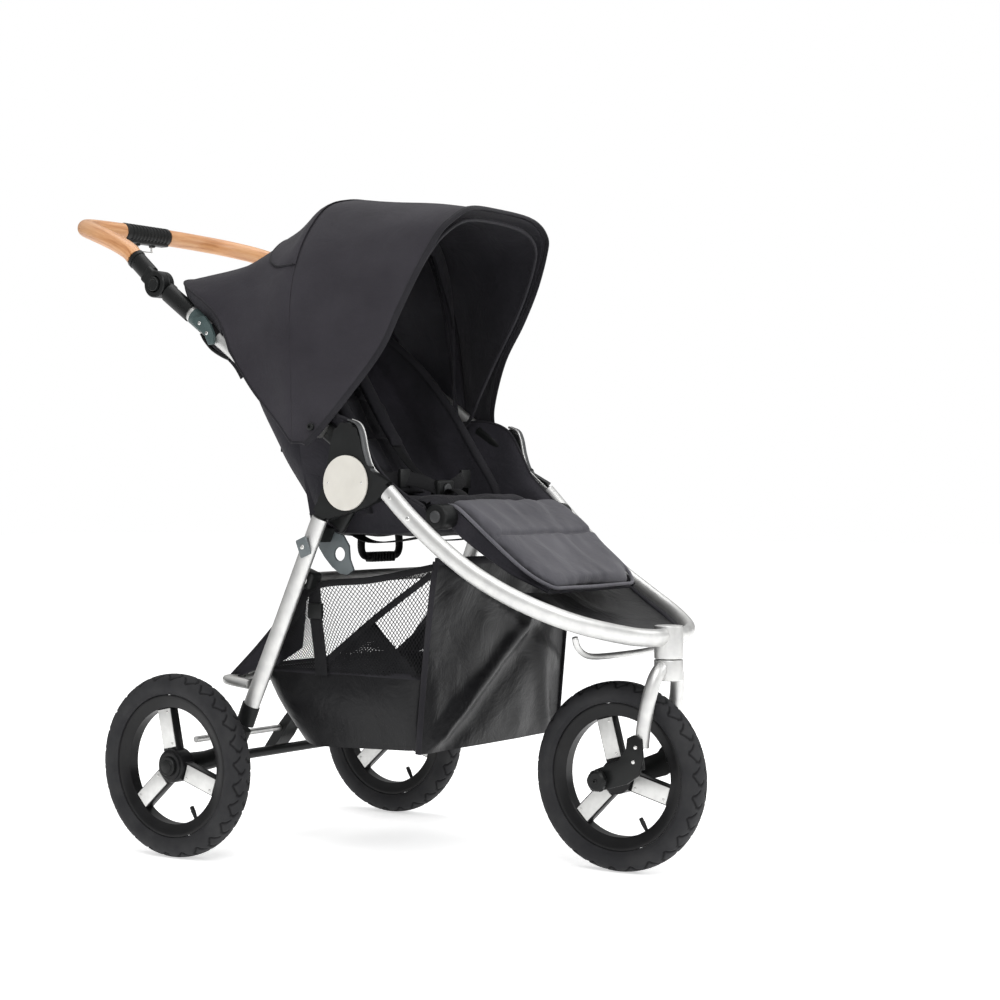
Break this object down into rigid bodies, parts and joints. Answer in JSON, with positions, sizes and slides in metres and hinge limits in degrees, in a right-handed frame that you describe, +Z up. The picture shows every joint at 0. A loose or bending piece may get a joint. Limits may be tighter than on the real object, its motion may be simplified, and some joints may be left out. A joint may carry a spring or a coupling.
{
  "type": "jogging stroller",
  "caption": "Folding three-wheeled jogging stroller: aluminium frame, swivelling front fork, air-filled tyres, reclining seat, canopy, leg rest, basket and tilting wooden handle.",
  "frame": {"origin": "middle of the bounding box's base, on the floor between the wheels", "axes": "+X to the seated child's left, -Y the rolling direction, +Z up"},
  "size_m": [0.654, 1.2071, 1.111],
  "materials": {
    "aluminium": "satin",
    "black_plastic": "satin moulded",
    "slate_plastic": "satin moulded",
    "disc_grey": "matte",
    "tyre_rubber": "matte",
    "rim_black": "satin",
    "spoke_silver": "brushed",
    "canopy_fabric": "soft twill",
    "seat_fabric": "soft twill",
    "leg_rest_fabric": "quilted twill",
    "basket_fabric": "coated",
    "wood": "fine grain, satin"
  },
  "bodies": {
    "front_frame": {"frame_tube_left": "aluminium", "frame_tube_right": "aluminium", "head_tube": "aluminium", "ear_left": "black_plastic", "ear_right": "black_plastic", "ear_disc_left": "disc_grey", "ear_disc_right": "disc_grey", "foot_bar": "aluminium", "footwell": "seat_fabric", "seat_base": "seat_fabric", "basket": "basket_fabric", "leg_rest_hinge": "black_plastic", "harness_buckle": "black_plastic"},
    "buckle_button": {"buckle_button": "slate_plastic"},
    "leg_rest_button_left": {"leg_rest_button_left": "slate_plastic"},
    "leg_rest_button_right": {"leg_rest_button_right": "slate_plastic"},
    "leg_rest": {"leg_rest_pad": "leg_rest_fabric"},
    "fold_handle": {"fold_handle": "black_plastic"},
    "upper_frame": {"upper_tube_left": "aluminium", "upper_tube_right": "aluminium", "lower_knuckle_left": "black_plastic", "lower_knuckle_right": "black_plastic", "canopy_rear": "canopy_fabric"},
    "fold_lever_left": {"fold_lever_left": "slate_plastic"},
    "fold_lever_right": {"fold_lever_right": "slate_plastic"},
    "handle": {"upper_knuckle_left": "black_plastic", "upper_knuckle_right": "black_plastic", "grip_left": "wood", "grip_right": "wood", "handle_console": "black_plastic"},
    "handle_button_left": {"handle_button_left": "black_plastic"},
    "handle_button_right": {"handle_button_right": "black_plastic"},
    "canopy_mid": {"canopy_mid_bow": "black_plastic"},
    "canopy_stay": {"canopy_stay_bow": "black_plastic"},
    "canopy_front": {"canopy_front_bow": "black_plastic", "canopy_front": "canopy_fabric"},
    "seat_back": {"seat_back": "seat_fabric"},
    "rear_legs": {"rear_leg_left": "aluminium", "rear_leg_right": "aluminium", "rear_cross_bar": "aluminium", "basket_bar": "aluminium"},
    "fold_catch": {"fold_catch": "slate_plastic"},
    "rear_axle": {"rear_axle": "black_plastic"},
    "brake": {"brake_rod": "aluminium", "brake_pedal": "black_plastic"},
    "rear_wheel_left": {"rear_left_tyre": "tyre_rubber", "rear_left_rim": "rim_black", "rear_left_spoke_face": "spoke_silver"},
    "rear_wheel_right": {"rear_right_tyre": "tyre_rubber", "rear_right_rim": "rim_black", "rear_right_spoke_face": "spoke_silver"},
    "wheel_release_left": {"wheel_release_left": "black_plastic"},
    "wheel_release_right": {"wheel_release_right": "black_plastic"},
    "fork": {"fork": "aluminium", "dropout_left": "black_plastic", "dropout_right": "black_plastic"},
    "front_wheel": {"front_tyre": "tyre_rubber", "front_rim": "rim_black", "front_spoke_face": "spoke_silver"},
    "axle_knob": {"axle_knob": "black_plastic"}
  },
  "joints": [
    {"name": "fold", "type": "hinge", "parent": "front_frame", "child": "upper_frame", "pos_m": [0, -0.075, 0.673], "axis": [1, 0, 0], "range_deg": [0, 154], "deforming": ["canopy_rear", "canopy_front"]},
    {"name": "rear_leg_fold", "type": "hinge", "parent": "front_frame", "child": "rear_legs", "pos_m": [0, -0.082, 0.622], "axis": [1, 0, 0], "range_deg": [-48.12, 0], "deforming": ["basket"]},
    {"name": "canopy_mid_fold", "type": "hinge", "parent": "upper_frame", "child": "canopy_mid", "pos_m": [0, 0.016, 0.719], "axis": [1, 0, 0], "range_deg": [-36.96, 0]},
    {"name": "canopy_stay_fold", "type": "hinge", "parent": "upper_frame", "child": "canopy_stay", "pos_m": [0, 0.016, 0.719], "axis": [1, 0, 0], "range_deg": [-64.68, 0]},
    {"name": "canopy_front_close", "type": "hinge", "parent": "canopy_stay", "child": "canopy_front", "pos_m": [0, 0.016, 0.719], "axis": [1, 0, 0], "range_deg": [-27, 0]},
    {"name": "seat_recline", "type": "hinge", "parent": "upper_frame", "child": "seat_back", "pos_m": [0, 0.03, 0.565], "axis": [1, 0, 0], "range_deg": [-35, 0]},
    {"name": "handle_tilt", "type": "hinge", "parent": "upper_frame", "child": "handle", "pos_m": [0, 0.3323, 0.964], "axis": [1, 0, 0], "range_deg": [-45, 30]},
    {"name": "handle_button_left_push", "type": "slide", "parent": "handle", "child": "handle_button_left", "axis": [-1, 0, 0], "range_m": [0, 0.003], "stiffness_N_per_m": 400, "springref_m": -0.001},
    {"name": "handle_button_right_push", "type": "slide", "parent": "handle", "child": "handle_button_right", "axis": [1, 0, 0], "range_m": [0, 0.003], "stiffness_N_per_m": 400, "springref_m": -0.001},
    {"name": "fold_lever_left_pull", "type": "hinge", "parent": "upper_frame", "child": "fold_lever_left", "pos_m": [0.232, 0.222, 0.889], "axis": [1, 0, 0], "range_deg": [0, 30], "stiffness_Nm_per_rad": 0.3, "springref_deg": -5.73},
    {"name": "fold_lever_right_pull", "type": "hinge", "parent": "upper_frame", "child": "fold_lever_right", "pos_m": [-0.232, 0.222, 0.889], "axis": [1, 0, 0], "range_deg": [0, 30], "stiffness_Nm_per_rad": 0.3, "springref_deg": -5.73},
    {"name": "leg_rest_tilt", "type": "hinge", "parent": "front_frame", "child": "leg_rest", "pos_m": [0, -0.222, 0.568], "axis": [1, 0, 0], "range_deg": [-35, 10]},
    {"name": "leg_rest_button_left_push", "type": "slide", "parent": "front_frame", "child": "leg_rest_button_left", "axis": [-1, 0, 0], "range_m": [0, 0.003], "stiffness_N_per_m": 400, "springref_m": -0.001},
    {"name": "leg_rest_button_right_push", "type": "slide", "parent": "front_frame", "child": "leg_rest_button_right", "axis": [1, 0, 0], "range_m": [0, 0.003], "stiffness_N_per_m": 400, "springref_m": -0.001},
    {"name": "buckle_button_push", "type": "slide", "parent": "front_frame", "child": "buckle_button", "axis": [0, 1, 0], "range_m": [0, 0.003], "stiffness_N_per_m": 400, "springref_m": -0.001},
    {"name": "fold_handle_lift", "type": "hinge", "parent": "front_frame", "child": "fold_handle", "pos_m": [0, 0.032, 0.536], "axis": [1, 0, 0], "range_deg": [0, 30]},
    {"name": "fold_catch_swing", "type": "hinge", "parent": "rear_legs", "child": "fold_catch", "pos_m": [-0.232, -0.002, 0.518], "axis": [1, 0, 0], "range_deg": [-25, 0]},
    {"name": "rear_suspension", "type": "hinge", "parent": "rear_legs", "child": "rear_axle", "pos_m": [0, 0.125, 0.222], "axis": [1, 0, 0], "range_deg": [0, 8], "stiffness_Nm_per_rad": 80, "springref_deg": -9.17},
    {"name": "brake_press", "type": "hinge", "parent": "rear_axle", "child": "brake", "pos_m": [0, 0.245, 0.188], "axis": [1, 0, 0], "range_deg": [0, 20]},
    {"name": "rear_wheel_left_spin", "type": "hinge", "parent": "rear_axle", "child": "rear_wheel_left", "pos_m": [0.3, 0.23, 0.1525], "axis": [1, 0, 0], "continuous": true},
    {"name": "rear_wheel_right_spin", "type": "hinge", "parent": "rear_axle", "child": "rear_wheel_right", "pos_m": [-0.3, 0.23, 0.1525], "axis": [1, 0, 0], "continuous": true},
    {"name": "wheel_release_left_push", "type": "slide", "parent": "rear_wheel_left", "child": "wheel_release_left", "axis": [-1, 0, 0], "range_m": [0, 0.003], "stiffness_N_per_m": 400, "springref_m": -0.001},
    {"name": "wheel_release_right_push", "type": "slide", "parent": "rear_wheel_right", "child": "wheel_release_right", "axis": [1, 0, 0], "range_m": [0, 0.003], "stiffness_N_per_m": 400, "springref_m": -0.001},
    {"name": "fork_swivel", "type": "hinge", "parent": "front_frame", "child": "fork", "pos_m": [0, -0.539, 0.36], "axis": [0, 0, 1], "continuous": true},
    {"name": "front_wheel_spin", "type": "hinge", "parent": "fork", "child": "front_wheel", "pos_m": [0, -0.451, 0.1525], "axis": [1, 0, 0], "continuous": true},
    {"name": "axle_knob_turn", "type": "hinge", "parent": "fork", "child": "axle_knob", "pos_m": [-0.072, -0.451, 0.1525], "axis": [1, 0, 0], "continuous": true}
  ],
  "couplings": [
    {"joint": "rear_leg_fold", "follows": "fold", "ratio": -0.3125},
    {"joint": "canopy_mid_fold", "follows": "fold", "ratio": -0.24},
    {"joint": "canopy_stay_fold", "follows": "fold", "ratio": -0.42}
  ]
}
